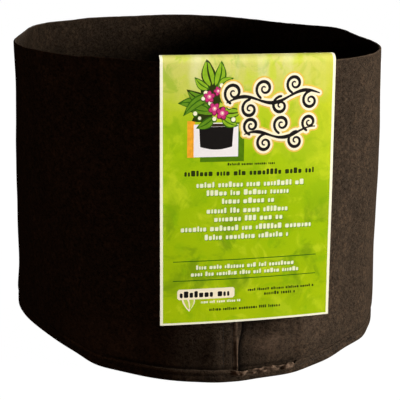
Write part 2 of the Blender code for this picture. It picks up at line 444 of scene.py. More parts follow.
def felt_material(name, tone=1, fuzz=1):
    """Needle-punched felt: dark brown-black, matted with short fibres lying every way."""
    m = Nodes(name, roughness=0.95, specular=0.12)
    m.set(Sheen_Weight=0.1, Sheen_Roughness=0.45, Sheen_Tint=(0.62, 0.5, 0.4, 1))
    flat, solid = m.coords("UV"), m.coords("Object")
    drift = m.noise(flat, 140, 2, flat=True)
    bend = m.add("CombineXYZ", {0: m.times(drift, 0.005), 1: m.times(drift, -0.004)}).outputs[0]
    bent = m.add("VectorMath", {0: flat, 1: bend}, operation="ADD").outputs[0]

    fibres = gaps = 0
    for i, turn in enumerate((0.15, 0.85, 1.45, 2.15, 2.75)):
        strand = m.noise(m.moved(bent, STRAND_SCALE, turn, (0.37 * i, 0.21 * i, 0)), 1, 1, flat=True)
        fibres = m.math("MAXIMUM", fibres, m.remap(strand, 0.56, 0.74))
        gaps = m.math("MAXIMUM", gaps, m.remap(strand, 0.42, 0.26))
    tufts = []
    for i, turn in enumerate((0.55, 2.35)):
        stretched = m.moved(bent, TUFT_SCALE, turn, (0.9 + 0.3 * i, 0.4, 0))
        tufts.append(m.remap(m.noise(stretched, 1, 2, 0.6, flat=True), 0.34, 0.68))
    tufts = m.times(m.math("ADD", *tufts), 0.5)

    mottle = m.noise(solid, 250, 4, 0.66)
    clump = m.noise(solid, 82, 3, 0.62)
    cloud = m.noise(m.moved(solid, (1, 1, 0.42)), 27, 4, 0.6)
    colour = m.mix(m.remap(mottle, 0.38, 0.63), scaled(FELT_DARK, tone), scaled(FELT_LIGHT, tone))
    colour = m.darken(colour, clump, 0.38, 0.6, 0.34)
    colour = m.darken(colour, cloud, 0.38, 0.6, 0.5)
    pits = m.remap(m.noise(solid, 240, 2, 0.5), 0.62, 0.72, 0, 0.55)
    colour = m.mix(pits, colour, scaled(FELT_PIT, tone))
    colour = m.darken(colour, tufts, 0.12, 0.8, 0.4)
    colour = m.mix(m.times(gaps, 0.55), colour, scaled(FELT_GAP, tone))
    colour = m.mix(m.times(fibres, 0.45 * fuzz), colour, scaled(FELT_STRAND, tone))

    # painted shade (below 0) and pale fluff with painted highlights (above 0), where add_shade marks them
    shade = m.add("Attribute", attribute_name="shade").outputs["Fac"]
    fluff_and_highlight = m.times(m.math("MAXIMUM", shade, 0), m.remap(mottle, 0.25, 0.6, 0.25, 0.85))
    crease = m.times(m.math("MAXIMUM", m.times(shade, -1), 0), 0.9)
    colour = m.mix(crease, m.mix(fluff_and_highlight, colour, FELT_FLUFF_AND_HIGHLIGHT), FELT_PAINTED_SHADE)

    height = m.math("ADD", m.times(fibres, 0.25), mottle)
    height = m.math("ADD", height, m.times(m.math("ADD", clump, tufts), 0.5))
    m.bump(height, 0.6, 0.0009)
    return m.colour(colour)


def thread_material(name):
    """Twisted sewing thread, dark between its plies."""
    m = Nodes(name, roughness=0.55, specular=0.4)
    ply = m.noise(m.moved(m.coords("Object"), (1, 1, 0.5)), 2600, 1)
    colour = m.mix(m.remap(ply, 0.4, 0.6), (0.008, 0.007, 0.006, 1), (0.03, 0.026, 0.023, 1))
    m.bump(ply, 0.5, 0.0002)
    return m.colour(colour)


def print_material(name, colour, blotch=0.1, roughness=0.5):
    """Ink on card: a colour with the faint unevenness of a print, over paper grain."""
    m = Nodes(name, roughness=roughness, specular=0.1)
    flat = m.coords("UV")
    wash = m.noise(flat, 210, 3, flat=True)
    grain = m.noise(flat, 2400, 2, flat=True)
    tint = m.mix(m.remap(wash, 0.35, 0.65), scaled(colour, 1 - blotch), colour)
    m.bump(grain, 0.15, 0.0001)
    return m.colour(m.darken(tint, grain, 0.3, 0.6, 0.96))


# The watercolour ground from the front leaf's foot (0) to its top (1).
WASH = (
    (0, (173, 200, 6)), (0.18, (162, 191, 3)), (0.45, (160, 195, 3)), (0.62, (166, 201, 5)),
    (0.76, (184, 206, 34)), (0.88, (203, 210, 88)), (1, (221, 217, 126)),
)


def wash_material(name):
    """The label's watercolour ground: pale yellow at the top, through lime to fresh green."""
    m = Nodes(name, roughness=0.5, specular=0.1)
    flat = m.coords("UV")
    across, up = m.add("SeparateXYZ", {0: flat}).outputs[:2]
    wander = m.times(m.math("SUBTRACT", m.noise(flat, 16, 4, 0.6, flat=True), 0.5), 0.1)
    share = m.math("DIVIDE", m.math("ADD", up, wander), 0.302)
    ground = m.ramp(share, [(at, srgb(*rgb)) for at, rgb in WASH])

    def blot(scale, detail, warp, shift=(0, 0, 0), rough=0.6):
        return m.noise(m.moved(flat, shift=shift), scale, detail, rough, warp, flat=True)

    bloom = blot(38, 5, 0.6)
    wet = blot(52, 4, 0.5, (0.71, 0.43, 0))
    pool = blot(26, 5, 0.4, (0.33, 0.12, 0), 0.62)
    streak = m.noise(m.moved(flat, (34, 7, 1)), 1, 3, 0.55, flat=True)
    low_down = m.times(m.remap(up, 0.01, 0.05), m.remap(up, 0.16, 0.09))
    for cover, rgb in (
        (m.remap(bloom, 0.5, 0.68, 0, 0.62), (200, 219, 34)),
        (m.remap(wet, 0.52, 0.7, 0, 0.45), (126, 178, 2)),
        (m.times(m.remap(streak, 0.44, 0.72, 0, 0.62), m.remap(up, 0.235, 0.29)), (238, 234, 186)),
        (m.times(m.remap(across, 0.1, 0.19, 0, 0.55), m.remap(up, 0.12, 0.24)), (206, 211, 44)),
        (m.times(m.remap(pool, 0.5, 0.68, 0, 0.62), low_down), (92, 118, 10)),
        (m.times(m.remap(pool, 0.42, 0.62, 0, 0.3), m.remap(up, 0.29, 0.2)), (128, 176, 6)),
    ):
        ground = m.mix(cover, ground, srgb(*rgb))
    grain = m.noise(flat, 900, 3, flat=True)
    m.bump(grain, 0.12, 0.0001)
    return m.colour(m.darken(ground, grain, 0.3, 0.6, 0.933))


# ======== the wall

ROW_DEEP = 0.0004  # the hollow that a sewn row pulls into the felt
ROW_REACH = 0.0022
RIDGE_HIGH = 0.0014  # the ridge along the lap's outer end
RIDGE_ROUGH = 0.0012
CURL = 0.0012  # how far the raw end turns in past the ridge
TOP_ROUND = 0.0009  # height of the rounding of the cut rim
RIM_MOVES = 0.25  # the rim's unevenness fades out down to this height
# Painted highlights (above 0) beside the seam's foot and low on the front left, and a painted shadow (below
# 0) under the card's foot, in the columns of DENTS but for the strength.
PAINTED_LIGHT_PATCHES = ((22, 4.6, 39, 13, 0.66), (34, 8, 45, 20, 0.2), (18, 4.5, 72, 15, -0.75), (-24, 16, 30, 30, 0.26))


def from_outer_end(at):
    """Distance along the strip back from its outer end."""
    return (SEAM_EDGE + TURN - at) * BAG_RADIUS


def from_inner_end(at):
    return (at - LAP_START) * BAG_RADIUS


def row_hollows(from_end):
    return ROW_DEEP * sum(hump(from_end - row, ROW_REACH) for row in SEAM_ROWS)


def seam_flange(height):
    """How far the outer end's cut edge lies past the ridge of the seam."""
    return 0.0007 + 0.005 * rising(height, 0.034, 0.03)


def seam_roughness(at, z):
    return noise_at(place(at, BAG_RADIUS, z), 210, 9.1)


def wall_faces(at, z):
    """How far the strip's outer and inner faces stand from the wall's plain outer shape."""
    from_edge = from_outer_end(at)
    move = strip_shift(np.minimum(at, SEAM_EDGE + TURN)) + slump(at, z) + MM * dented(at, z, SEAM_DENTS)
    ridge = (RIDGE_HIGH + RIDGE_ROUGH * seam_roughness(at, z)) * hump(from_edge - 0.0002, 0.0016)
    curl = CURL * ease(-from_edge / 0.0035)
    outer = move - row_hollows(from_edge) + ridge - curl
    inner = move - FELT + row_hollows(LAP_WIDTH - from_inner_end(at)) - 0.6 * curl
    return outer, inner


def wall_shade(at, z):
    """Painted highlights along the seam's ridge, with the raw edge's paler fluff, and beside its foot;
    painted shade in the crease beside the flange and just above the turned-up edge; and a painted shadow
    under the card's foot, as add_shade takes them.
    """
    from_edge = from_outer_end(at)
    crease = from_inner_end(at) - LAP_WIDTH - seam_flange(z)
    rough = seam_roughness(at, z)
    # painted highlight along the seam's ridge, with the raw edge's paler fluff, and a wider painted
    # highlight on the flange beside it; painted shadow in the crease past the flange's cut edge
    shade = (0.72 + 0.8 * rough) * hump(from_edge - 0.0002, 0.0014)
    shade = shade + (0.34 + 0.4 * rough) * hump(from_edge - 0.003, 0.003) - hump(crease - 0.001, 0.0016)
    # more painted shadow in that crease, strongest low down
    shade = shade - 0.9 * (1 + 0.6 * rough) * hump(crease - 0.0036, 0.0038) * hump(z - 0.036, 0.034)
    turned = np.degrees(wrapped(at))
    # painted contact shadow in a thin line just above the turned-up edge, across the front
    above_band = rising(turned, -30, 12) * falling(turned, 30.5, 2)
    shade = shade - 0.8 * above_band * hump(z - TURN_UP - 0.0002, 0.0016)
    # painted highlights beside the seam's foot and low on the front left, and a painted shadow under the
    # card's foot, broken up by noise
    patchy = 0.75 + 0.9 * noise_at(place(at, BAG_RADIUS, z), 70, 1.7)
    return shade + patchy * dented(at, z, PAINTED_LIGHT_PATCHES)


def cut_rim(at, radius, outer, inner, z):
    """Points over the cut top edge, a little rounded and lumpy, from the outer face to the inner."""
    tops = []
    for share, up in ((0.1, 0.55), (0.28, 0.88), (0.5, 1), (0.72, 0.88), (0.9, 0.55)):
        lumps = noise_at(place(at, radius, z), 260, 11 + share)
        across = radius + outer * (1 - share) + inner * share
        tops.append(place(at, across + 0.00018 * lumps, z + TOP_ROUND * up + 0.00022 * lumps))
    return np.stack(tops, axis=1)


def end_cap(start, size, order):
    """Faces that close one end of the strip, laddered between its two sides."""
    faces = []
    low, high = start, start + size - 1
    while high - low > 2:
        faces.append((low, low + 1, high - 1, high)[::order])
        low, high = low + 1, high - 1
    faces.append((low, low + 1, high)[::order])
    return faces


def build_wall(felt, edge):
    """The strip of felt, rolled round and lapped, with its raw edges."""
    length = from_inner_end(SEAM_EDGE + TURN)
    along = LAP_START + spread((0.032, 0.0011), (length - 0.034, 0.0044), (length, 0.0009)) / BAG_RADIUS
    top = RIM_HEIGHT - TOP_ROUND - WALL_FOOT
    heights = WALL_FOOT + spread((0.03, 0.0015), (0.07, 0.0035), (0.33, 0.0058), (top, 0.003))
    columns, rows = len(along), len(heights)

    at, z = np.meshgrid(along, heights, indexing="ij")
    past_ridge = ease(1 - from_outer_end(at) / 0.0045)
    at = at + past_ridge * seam_flange(z) / BAG_RADIUS
    z = z + rim_wave(along)[:, None] * rising(z, RIM_MOVES, RIM_HEIGHT - RIM_MOVES)
    radius = felt_outside(at, z)
    outer, inner = wall_faces(at, z)
    tops = cut_rim(at[:, -1], radius[:, -1], outer[:, -1], inner[:, -1], z[:, -1])
    top_count = tops.shape[1]

    face_out, face_in = place(at, radius + outer, z), place(at, radius + inner, z)
    rings = np.concatenate([face_out, tops, face_in[:, ::-1]], axis=1)
    shade = wall_shade(at, z)
    shades = np.concatenate([shade, np.full((columns, top_count), 0.25), 0 * shade], axis=1)
    size = rings.shape[1]
    faces = grid_faces(columns, size, columns_close=False, rings_close=True)
    slots = [int(rows - 1 <= k % size < rows + top_count) for k in range(len(faces))]
    caps = end_cap(0, size, 1) + end_cap((columns - 1) * size, size, -1)
    piece = new_piece("felt_wall", rings.reshape(-1, 3), faces + caps, [felt, edge], slots + [1] * len(caps))
    flat_rim = RIM_HEIGHT + 0.001 * np.arange(top_count)
    flat_z = np.concatenate([heights, flat_rim, 0.72 - heights[::-1]])
    add_uv(piece, np.stack([np.repeat(along * BAG_RADIUS, size), np.tile(flat_z, columns)], axis=1))
    add_shade(piece, shades)
    return piece


# ======== the base

FOOT_ROUND = 0.004  # radius of the bend from the underside to the turned-up edge
FLUFF_OUT = 0.0023  # how far the raw edge's tufts stand out
LEAN_OUT = 0.0018  # how far the open stretch of the edge leans off the wall
ROW_DENT = 0.0008  # depth of the base seam's row
# The raw top of the edge: depth below the outer face, and drop below the top.
RAW_TOP = (
    (0, 0.0026), (0, 0.0018), (0.0001, 0.0008), (0.0005, 0.0002), (0.0012, 0), (0.002, 0.0001),
    (0.0026, 0.0005), (0.0029, 0.0014),
)


def build_base(felt, edge):
    """The round base, its edge turned up outside the wall, with a raw, fluffy top."""
    angles = spread((radians(8), 0.017), (radians(34), 0.0042), (TURN, 0.0185))[:-1]
    columns = len(angles)
    bump = LAP_STEP * lap_bump(angles)
    along = place(angles, BAG_RADIUS, 0.01)

    # right of the seam the edge stands open and frays, up to a nick
    signed = wrapped(angles)
    open_edge = rising(signed, radians(10), radians(2.5)) * falling(signed, radians(29.5), radians(2))
    nick = hump((signed - radians(29)) * BAG_RADIUS, 0.0022)
    lumps = noise_at(along, 130, 2.2) + 0.6 * noise_at(along, 300, 8.2)
    ragged = 0.00035 + 0.0012 * open_edge
    top = TURN_UP - 0.001 + ragged * lumps - 0.0034 * nick - 0.0002 * open_edge
    lean_out = LEAN_OUT * open_edge
    in_front = rising(signed, radians(-52), radians(12)) * falling(signed, radians(31), radians(3))

    def tufts(z):
        """0 to about 1: how far the raw edge fluffs up, in lumps a few millimetres wide."""
        height = np.broadcast_to(z, angles.shape)
        lumpy = noise_at(place(angles, BAG_RADIUS, height), 175, 5.5)
        return open_edge * rising(height, 0.0066, 0.0035) * np.clip(0.72 + 1.3 * lumpy, 0.05, 1.25)

    def ring(back, z, out=0):
        """Points at a depth below the band's outer face, thinner where the wall has settled over it."""
        height = np.broadcast_to(z, angles.shape)
        squeeze = over_band(angles, height)
        back = back * (1 - squeeze / FELT) + 0.5 * squeeze * rising(height, 0.01, 0.006)
        radius = felt_outside(angles, height) + bump + GAP + FELT - back
        return place(angles, radius + out, height)

    def disc(share, z):
        """Points of the flat part, at a share of the way out from its middle."""
        edge_radius = felt_outside(angles, 0 * angles) + GAP + FELT - FOOT_ROUND
        return place(angles, share * edge_radius, np.broadcast_to(z, angles.shape))

    def leaning(z):
        return lean_out * ((z - FOOT_ROUND) / 0.012) ** 2

    rings, slots, shades = [], [], []

    def add(points, slot=0, shade=0):
        rings.append(points)
        slots.append(slot)
        shades.append(shade + 0 * angles)

    for share in (0.08, 0.2, 0.35, 0.5, 0.65, 0.8, 0.9, 0.97):
        add(disc(share, 0))
    for t in (0, 0.25, 0.5, 0.75, 1):
        turn = t * pi / 2
        back = FOOT_ROUND * (1 - sin(turn)) - 0.0003 * sin(TURN * t / 2)
        add(ring(back, FOOT_ROUND * (1 - cos(turn))))
    for z in (0.0058, 0.007, 0.0079, 0.0085, 0.0091, 0.01, 0.011, 0.0119):
        dent = ROW_DENT * hump(z - BASE_ROW_HEIGHT, 0.0009)
        # pale fluffed tufts, and painted shade on the upper rows away from the front, where the wall settles
        # over the band
        shade = 1.6 * tufts(z) - 0.3 * (1 - in_front) * rising(z, 0.009, 0.004)
        add(ring(dent, z, leaning(z) + FLUFF_OUT * tufts(z)), 0, shade)
    fray = (0.0002 + 0.0005 * open_edge) * noise_at(along, 210, 4.4)
    for back, drop in RAW_TOP:
        fluffed = tufts(top - drop)
        # raw top: slightly paler at the front, painted shade away from it under the settling wall, and pale
        # fluffed tufts
        shade = 0.08 * in_front - 0.45 * (1 - in_front) + 1.3 * fluffed
        add(ring(back + fray, top - drop, lean_out + FLUFF_OUT * fluffed), 1, shade)
    for z in (0.0115, 0.008, 0.0055):
        add(ring(FELT, z, leaning(z)))
    for t in (0, 0.5, 1):
        turn = t * pi / 2
        add(ring(FELT + 0.001 * (1 - cos(turn)), FOOT_ROUND - 0.001 * sin(turn)))
    for share in (0.95, 0.88, 0.78, 0.66, 0.54, 0.42, 0.3, 0.18, 0.07):
        upper = disc(share, FELT)
        upper[:, 2] += 0.0006 * (noise_at(upper, 22, 6) + 0.8) * falling(share, 0.97, 0.1)
        add(upper)

    size = len(rings)
    vertices = np.concatenate([np.stack(rings, axis=1).reshape(-1, 3),
                               [place(0, 0, 0), place(0, 0, FELT + 0.0005)]])
    low = len(vertices) - 2
    faces = grid_faces(columns, size, columns_close=True, rings_close=False)
    face_slots = [min(pair) for pair in zip(slots, slots[1:])] * columns
    for i in range(columns):
        a, b = i * size, (i + 1) % columns * size
        faces += [(low, b, a), (low + 1, a + size - 1, b + size - 1)]
        face_slots += [0, 0]
    piece = new_piece("felt_base", vertices, faces, [felt, edge], face_slots)
    add_uv(piece, vertices[:, :2] + vertices[:, 2:] * (0.3, 0.9))
    add_shade(piece, np.append(np.stack(shades, axis=1).ravel(), [0, 0]))
    return piece


# ======== stitches

STITCH = 0.004  # from one needle hole to the next
STITCH_GAP = 0.0006
THREAD_RADIUS = 0.00034
SINK = 0.0004  # how deep a stitch's ends dive into the felt


def stitch_arc(start, end, out, rise):
    """One stitch: a short arc whose ends dive into the felt."""
    points = []
    for t in (0, 0.12, 0.35, 0.65, 0.88, 1):
        lift = rise * (1 - (2 * t - 1) ** 4) - SINK
        points.append(start + (end - start) * t + out * lift)
    return tube(points, THREAD_RADIUS)


def build_side_stitches(name, from_edge, outside, mat):
    """One row of the side seam, on the felt's outer or inner face."""
    angle = SEAM_EDGE - from_edge / BAG_RADIUS + (TURN if outside else 0)
    out = np.array([sin(angle), -cos(angle), 0]) * (1 if outside else -1)
    foot = TURN_UP + 0.0015 if outside else BASE_ROW_HEIGHT + 0.003

    def hole(z):
        return place(angle, felt_outside(angle, z) + wall_faces(angle, z)[0 if outside else 1], z)

    starts = np.arange(foot, RIM_HEIGHT - 0.002 - STITCH, STITCH)
    parts = [stitch_arc(hole(z), hole(z + STITCH - STITCH_GAP), out, 0.0004) for z in starts]
    return new_piece(name, *gather(parts), [mat])


def build_base_stitches(name, outside, mat):
    """The base seam's row, in the turned-up edge or inside the wall."""
    count = int(TURN * BAG_RADIUS / STITCH)
    step = TURN / count

    def hole(angle):
        bump = LAP_STEP * lap_bump(angle)
        depth = bump + GAP + FELT - ROW_DENT if outside else -bump - FELT
        return place(angle, felt_outside(angle, BASE_ROW_HEIGHT) + depth, BASE_ROW_HEIGHT)

    parts = []
    for i in range(count):
        middle = (i + 0.5) * step
        out = np.array([sin(middle), -cos(middle), 0]) * (1 if outside else -1)
        end = hole((i + 1) * step - STITCH_GAP / BAG_RADIUS)
        parts.append(stitch_arc(hole(i * step), end, out, 0.0004 if outside else 0.0006))
    return new_piece(name, *gather(parts), [mat])


# ======== the label's card
# A flat sheet with its own coordinates in metres: u from its left edge, v up from its foot.

CARD = 0.0005  # thickness
CARD_WIDTH = 0.1925
CARD_FACING = radians(11)
CARD_ASIDE = 0.019  # the card's middle hangs this far to the right of that direction
CARD_OUT_RIM = 0.2231  # distance out from the bag's middle line at the rim's height, and at the foot
CARD_OUT_FOOT = 0.2429
CARD_BOW = 0.004  # the side edges stand back this much from the middle
CARD_FOOT = 0.0716  # height of the front leaf's lower edge
FOOT_SLANT = 0.0019
CARD_BEND = 0.3545  # heights where the card starts to bend over the rim, and of the bend's top
CARD_CREST = 0.3644
CREST_SLANT = 0.0007
BEND_POWER = 2 / 2.4  # makes the bend a little squarer than round
FLAP_OUT = (0.2024, 0.2)  # distance out of the flap inside the rim, at its two sides
CARD_FLAP = 0.06
FLAP_TAPER = 0.065  # keeps the flap hidden behind the front leaf
LEAF = (CARD_BEND - CARD_FOOT) / cos(atan2(CARD_OUT_FOOT - CARD_OUT_RIM, RIM_HEIGHT - CARD_FOOT))
FOLD = 0.0335  # length of the bend along the sheet
SHEET_LENGTH = LEAF + FOLD + CARD_BEND - (RIM_HEIGHT - CARD_FLAP)


def card_point(side, out, height):
    """A point at a distance out from the bag's middle line, in the direction the card faces."""
    across = CARD_ASIDE + side * CARD_WIDTH / 2
    x = out * sin(CARD_FACING) + across * cos(CARD_FACING)
    y = -out * cos(CARD_FACING) + across * sin(CARD_FACING)
    return np.array([x, y, height]) + AXIS


def on_card(u, v, depth=1):
    """Where a point of the flat sheet lies once it hangs over the rim."""
    side = 2 * u / CARD_WIDTH - 1
    grow = (CARD + 0.0001) * depth
    back_off = CARD_BOW * side * side
    lowest = CARD_FOOT + FOOT_SLANT * side
    if v <= LEAF:
        z = lowest + (CARD_BEND - lowest) * v / LEAF
        sink = (RIM_HEIGHT - z) / (RIM_HEIGHT - CARD_FOOT)
        wave = 0.0005 * sin(4 * u / CARD_WIDTH + 7 * v / LEAF) * sin(pi * v / LEAF)
        out = CARD_OUT_RIM + (CARD_OUT_FOOT - CARD_OUT_RIM) * sink - back_off + wave
        return card_point(side, out + grow, z)
    side = side * (1 - FLAP_TAPER * float(rising(v - LEAF, 0.45 * FOLD, 0.4 * FOLD)))
    front = CARD_OUT_RIM - back_off
    back = FLAP_OUT[0] + (FLAP_OUT[1] - FLAP_OUT[0]) * (side + 1) / 2
    if v <= LEAF + FOLD:
        turn = pi * (v - LEAF) / FOLD
        level = cos(turn)
        level = copysign(abs(level) ** BEND_POWER, level)
        out = (front + back) / 2 + ((front - back) / 2 + grow) * level
        rise = CARD_CREST + CREST_SLANT * side - CARD_BEND + grow
        return card_point(side, out, CARD_BEND + rise * abs(sin(turn)) ** BEND_POWER)
    return card_point(side, back - grow, CARD_BEND - (v - LEAF - FOLD))


# ---- printed shapes, in millimetres

ART_SCALE = (CARD_WIDTH / MM / 205, 0.9885)  # the print is drawn 205 wide
PETALS = 5


class Print:
    """Collects the printed shapes, later ones on top of earlier ones."""

    def __init__(self):
        self.shapes = []

    def add(self, ink, points):
        self.shapes.append((ink, [(u * ART_SCALE[0], v * ART_SCALE[1]) for u, v in points]))

    def box(self, ink, left, low, right, high, cut=0):
        """A rectangle, with its corners cut off where cut isn't 0."""
        if not cut:
            self.add(ink, [(left, low), (right, low), (right, high), (left, high)])
            return
        self.add(ink, [(left + cut, low), (right - cut, low), (right, low + cut), (right, high - cut),
                       (right - cut, high), (left + cut, high), (left, high - cut), (left, low + cut)])

    def disc(self, ink, u, v, radius, squash=1, sides=14, turn=0):
        points = []
        for i in range(sides):
            t = TURN * i / sides
            x, y = radius * cos(t), radius * squash * sin(t)
            points.append((u + x * cos(turn) - y * sin(turn), v + x * sin(turn) + y * cos(turn)))
        self.add(ink, points)

    def stroke(self, ink, path, widths, extra=0):
        """A drawn line of changing width, with a round start and end."""
        path = np.array(path, float)
        ahead = np.gradient(path, axis=0)
        ahead /= np.linalg.norm(ahead, axis=1)[:, None]
        side = np.stack([-ahead[:, 1], ahead[:, 0]], axis=1)
        shares = np.linspace(0, 1, len(path))
        half = np.interp(shares, np.linspace(0, 1, len(widths)), widths) / 2 + extra
        left = path + side * half[:, None]
        right = path - side * half[:, None]

        def cap(centre, ahead, across, radius):
            turns = (pi / 4, pi / 2, 3 * pi / 4)
            return [centre + radius * (across * cos(t) + ahead * sin(t)) for t in turns]

        end = cap(path[-1], ahead[-1], side[-1], half[-1])
        start = cap(path[0], -ahead[0], -side[0], half[0])
        self.add(ink, [tuple(p) for p in [*left, *end, *right[::-1], *start]])

    def leaf(self, inks, root, tip, width, bow=0):
        """A pointed leaf in a dark ink, with two lighter halves and a dark midrib."""
        dark, light = inks
        root, tip = np.array(root, float), np.array(tip, float)
        along = tip - root
        across = np.array([-along[1], along[0]]) / np.linalg.norm(along)

        def at(t, s):
            swell = sin(pi * t ** 0.8) ** 0.9
            return root + along * t + across * (bow * sin(pi * t) + 0.5 * width * s * swell)

        steps = [i / 9 for i in range(10)]

        def loop(first, length, near, far):
            """The outline between two distances from the midrib, over a stretch of the leaf."""
            up = [at(first + length * t, near) for t in steps]
            down = [at(first + length * t, far) for t in steps[-2:0:-1]]
            return [tuple(p) for p in up + down]

        self.add(dark, loop(0, 1, 1, -1))
        self.add(light, loop(0.06, 0.88, 0.8, 0.1))
        self.add(light, loop(0.08, 0.8, -0.16, -0.72))

    def flower(self, u, v, size, turn):
        """Five pink petals, each with a dark edge below, round a pale eye."""
        for ink, out, wide, squash, drop in (("plum", 0.62, 0.56, 0.8, 0.3), ("pink", 0.56, 0.46, 0.78, 0)):
            for i in range(PETALS):
                t = turn + TURN * i / PETALS
                across, up = u + out * size * cos(t), v + out * size * sin(t) - drop
                self.disc(ink, across, up, wide * size, squash, 10, t)
        self.disc("rose", u, v, 0.4 * size, 1, 10)
        self.disc("cream", u + 0.2, v + 0.2, 0.18 * size, 1, 8)

    def row(self, ink, left, right, base, tall, seed, shade=None):
        """A row of small blocks that stands for a line of words, with no letters."""
        for layer in ((shade, ink) if shade else (ink,)):
            rng = random.Random(seed)
            u = left
            word = rng.randint(4, 8)
            while u < right:
                wide = tall * rng.uniform(0.32, 0.74)
                high = tall * rng.choice((0.72, 0.72, 0.78, 1))
                if u + wide > right:
                    break
                if layer == shade:
                    self.box(shade, u + 0.35, base - 0.55, u + wide + 0.35, base + high - 0.55)
                else:
                    self.box(ink, u, base, u + wide, base + high, 0.12 * tall)
                u += wide + 0.2 * tall
                word -= 1
                if word == 0:
                    u += 0.55 * tall
                    word = rng.randint(3, 8)


def spiral(u, v, start, turns, big, small=1.6, count=32):
    """Points of a curl that winds in round a centre, from its outer end."""
    points = []
    for i in range(count):
        t = i / (count - 1)
        angle = start + TURN * turns * t
        radius = big + (small - big) * t ** 0.8
        points.append((u + radius * cos(angle), v + radius * sin(angle)))
    return points


# The two vines of the headline's scrollwork. A vine starts at (u, v) and runs a length to the right:
# its swing, waves, phase and climb, its number of points, then its widths along the way.
# Each of its curls has a centre, the angle of its outer end, its turns and its radius.
CURL_WIDTHS = (2.8, 3.8, 2.4, 1.6)
VINES = (
    ((76, 247), 110, 5, 1.5, 0, 9, 40, (1.2, 4.2, 2.4, 4.4, 2.4, 4.2, 1.4),
     ((84, 258, -1.9, -1.5, 12), (103, 240, 1.6, 1.5, 10.5), (120, 262, -2, -1.5, 11),
      (139, 243, 1.5, 1.45, 10.5), (156, 267, -1.9, -1.5, 10.5), (175, 248, 1.6, 1.45, 10.5))),
    ((97, 210), 84, 4.5, 1.2, 0.6, 5, 32, (1.2, 4.2, 2.4, 4.4, 2.4, 1.4),
     ((105, 222, -1.8, -1.5, 10), (121, 202, 1.5, 1.5, 10.5), (141, 223, -1.9, -1.5, 10.5),
      (158, 204, 1.5, 1.45, 10.5), (174, 224, -1.9, -1.45, 9.5))),
)


def ornament():
    """The headline's scrollwork, as a list of (path, widths)."""
    strokes = []
    for (u, v), length, swing, waves, phase, climb, count, widths, curls in VINES:
        wave = [(u + length * t, v + swing * sin(TURN * waves * t + phase) + climb * t)
                for t in np.linspace(0, 1, count)]
        strokes.append((wave, widths))
        strokes += [(spiral(*curl), CURL_WIDTHS) for curl in curls]
    return strokes


# The plant's leaves: root, tip, width and how far they bow. The first ones are dark and lie behind.
BACK_LEAVES = (
    ((60, 250), (46, 272)), ((60, 250), (78, 268)), ((62, 240), (36, 228)), ((60, 244), (44, 256)),
    ((64, 240), (86, 230)), ((60, 236), (62, 268)),
)
LEAVES = (
    ((62, 236), (34, 238), 12, -3), ((58, 240), (20, 247), 15, -4), ((62, 232), (41, 220), 11, 2),
    ((58, 250), (30, 262), 14, 4), ((60, 256), (26, 233), 12, -4), ((56, 262), (39, 275), 10, 2),
    ((60, 264), (53, 294), 17, 2), ((64, 264), (70, 292), 14, -2), ((68, 248), (92, 256), 13, 3),
    ((68, 238), (95, 238), 13, -2), ((70, 232), (90, 222), 11, -2), ((66, 262), (84, 274), 11, 2),
)
BUDS = (
    (52, 258, 2.6), (70, 266, 2.4), (49, 252, 2.2), (74, 254, 2.4), (57, 247, 2.4), (40, 236, 2.4),
    (79, 243, 2.2), (62, 230, 2.4), (84, 229, 2.6), (45, 231, 2),
)
FLOWERS = ((56, 254, 6, 0.3), (62, 241, 6.4, 0.9), (71, 236, 6.6, 0.1), (66, 260, 4.6, 0.6))
# Rows of blocks: ink, left, right, foot, height, seed of their widths, and their shade's ink.
ROWS = (
    ("ink", 78, 134, 178.6, 3, 11), ("ink", 28, 182, 167.4, 6.4, 12),
    ("white", 42, 170, 154.6, 6.2, 20, "moss"), ("white", 54, 158, 145.4, 6.2, 21, "moss"),
    ("white", 72, 136, 135.9, 6.2, 22, "moss"), ("white", 54, 152, 125.5, 6.2, 23, "moss"),
    ("white", 63, 145, 116.1, 6.2, 24, "moss"), ("white", 24, 183, 105.7, 6.2, 25, "moss"),
    ("white", 52, 156, 95.9, 6.2, 26, "moss"), ("white", 42, 166, 62.8, 5, 31, "moss"),
    ("white", 36, 166, 55.2, 5, 32, "moss"), ("black", 23, 86, 31, 7.4, 41),
    ("cream", 48, 96, 23.8, 3.2, 42), ("ink", 104, 186, 35, 3.2, 43), ("ink", 124, 164, 29.2, 4, 44),
    ("ink", 58, 146, 14.4, 3.6, 45),
)


def draw_label():
    """Everything printed on the sheet, in millimetres. All of it is made up for this model."""
    p = Print()
    p.box("ground", 3.3, 2.3, 201.8, SHEET_LENGTH / MM - 3.8)

    # picture: a flowering plant in a dark pot, on a white square
    p.box("moss", 46, 183, 97, 226)
    p.box("orange", 31, 188, 40, 228)
    p.box("snow", 38.5, 188.5, 90, 224)
    pot = [(46 + 37 * t, 199.5 - 3 * sin(pi * t)) for t in np.linspace(0, 1, 11)]
    p.add("black", [(44.5, 223), *pot, (84.5, 223)])
    p.disc("snow", 64.5, 223.6, 20.5, 0.11, 24)
    p.disc("soil", 64.5, 223.2, 18, 0.09, 24)
    for root, tip in BACK_LEAVES:
        p.leaf(("ink", "ink"), root, tip, 15)
    for i, (root, tip, width, bow) in enumerate(LEAVES):
        p.leaf(("fern" if i % 3 else "ink", "leaf" if i > 4 else "deep_leaf"), root, tip, width, bow)
    for u, v, size in BUDS:
        p.disc("fern", u, v - 0.8, size + 0.7, sides=10)
        p.disc("cream", u, v, size, sides=10)
    for flower in FLOWERS:
        p.flower(*flower)

    # headline scrollwork with two halos
    for ink, extra in (("orange_glow", 4.4), ("halo", 2.6), ("black", 0)):
        for path, widths in ornament():
            p.stroke(ink, path, widths, extra)

    # two rules, a leaf mark and its bar
    p.box("fern", 15, 72, 187, 73)
    p.box("fern", 15, 50, 187, 51)
    p.leaf(("halo", "lime"), (28, 36), (34, 15), 15, 3)
    p.box("halo", 20, 28.8, 88, 40.8, 2)

    # blocks in place of words
    for row in ROWS:
        p.row(*row)
    return p.shapes


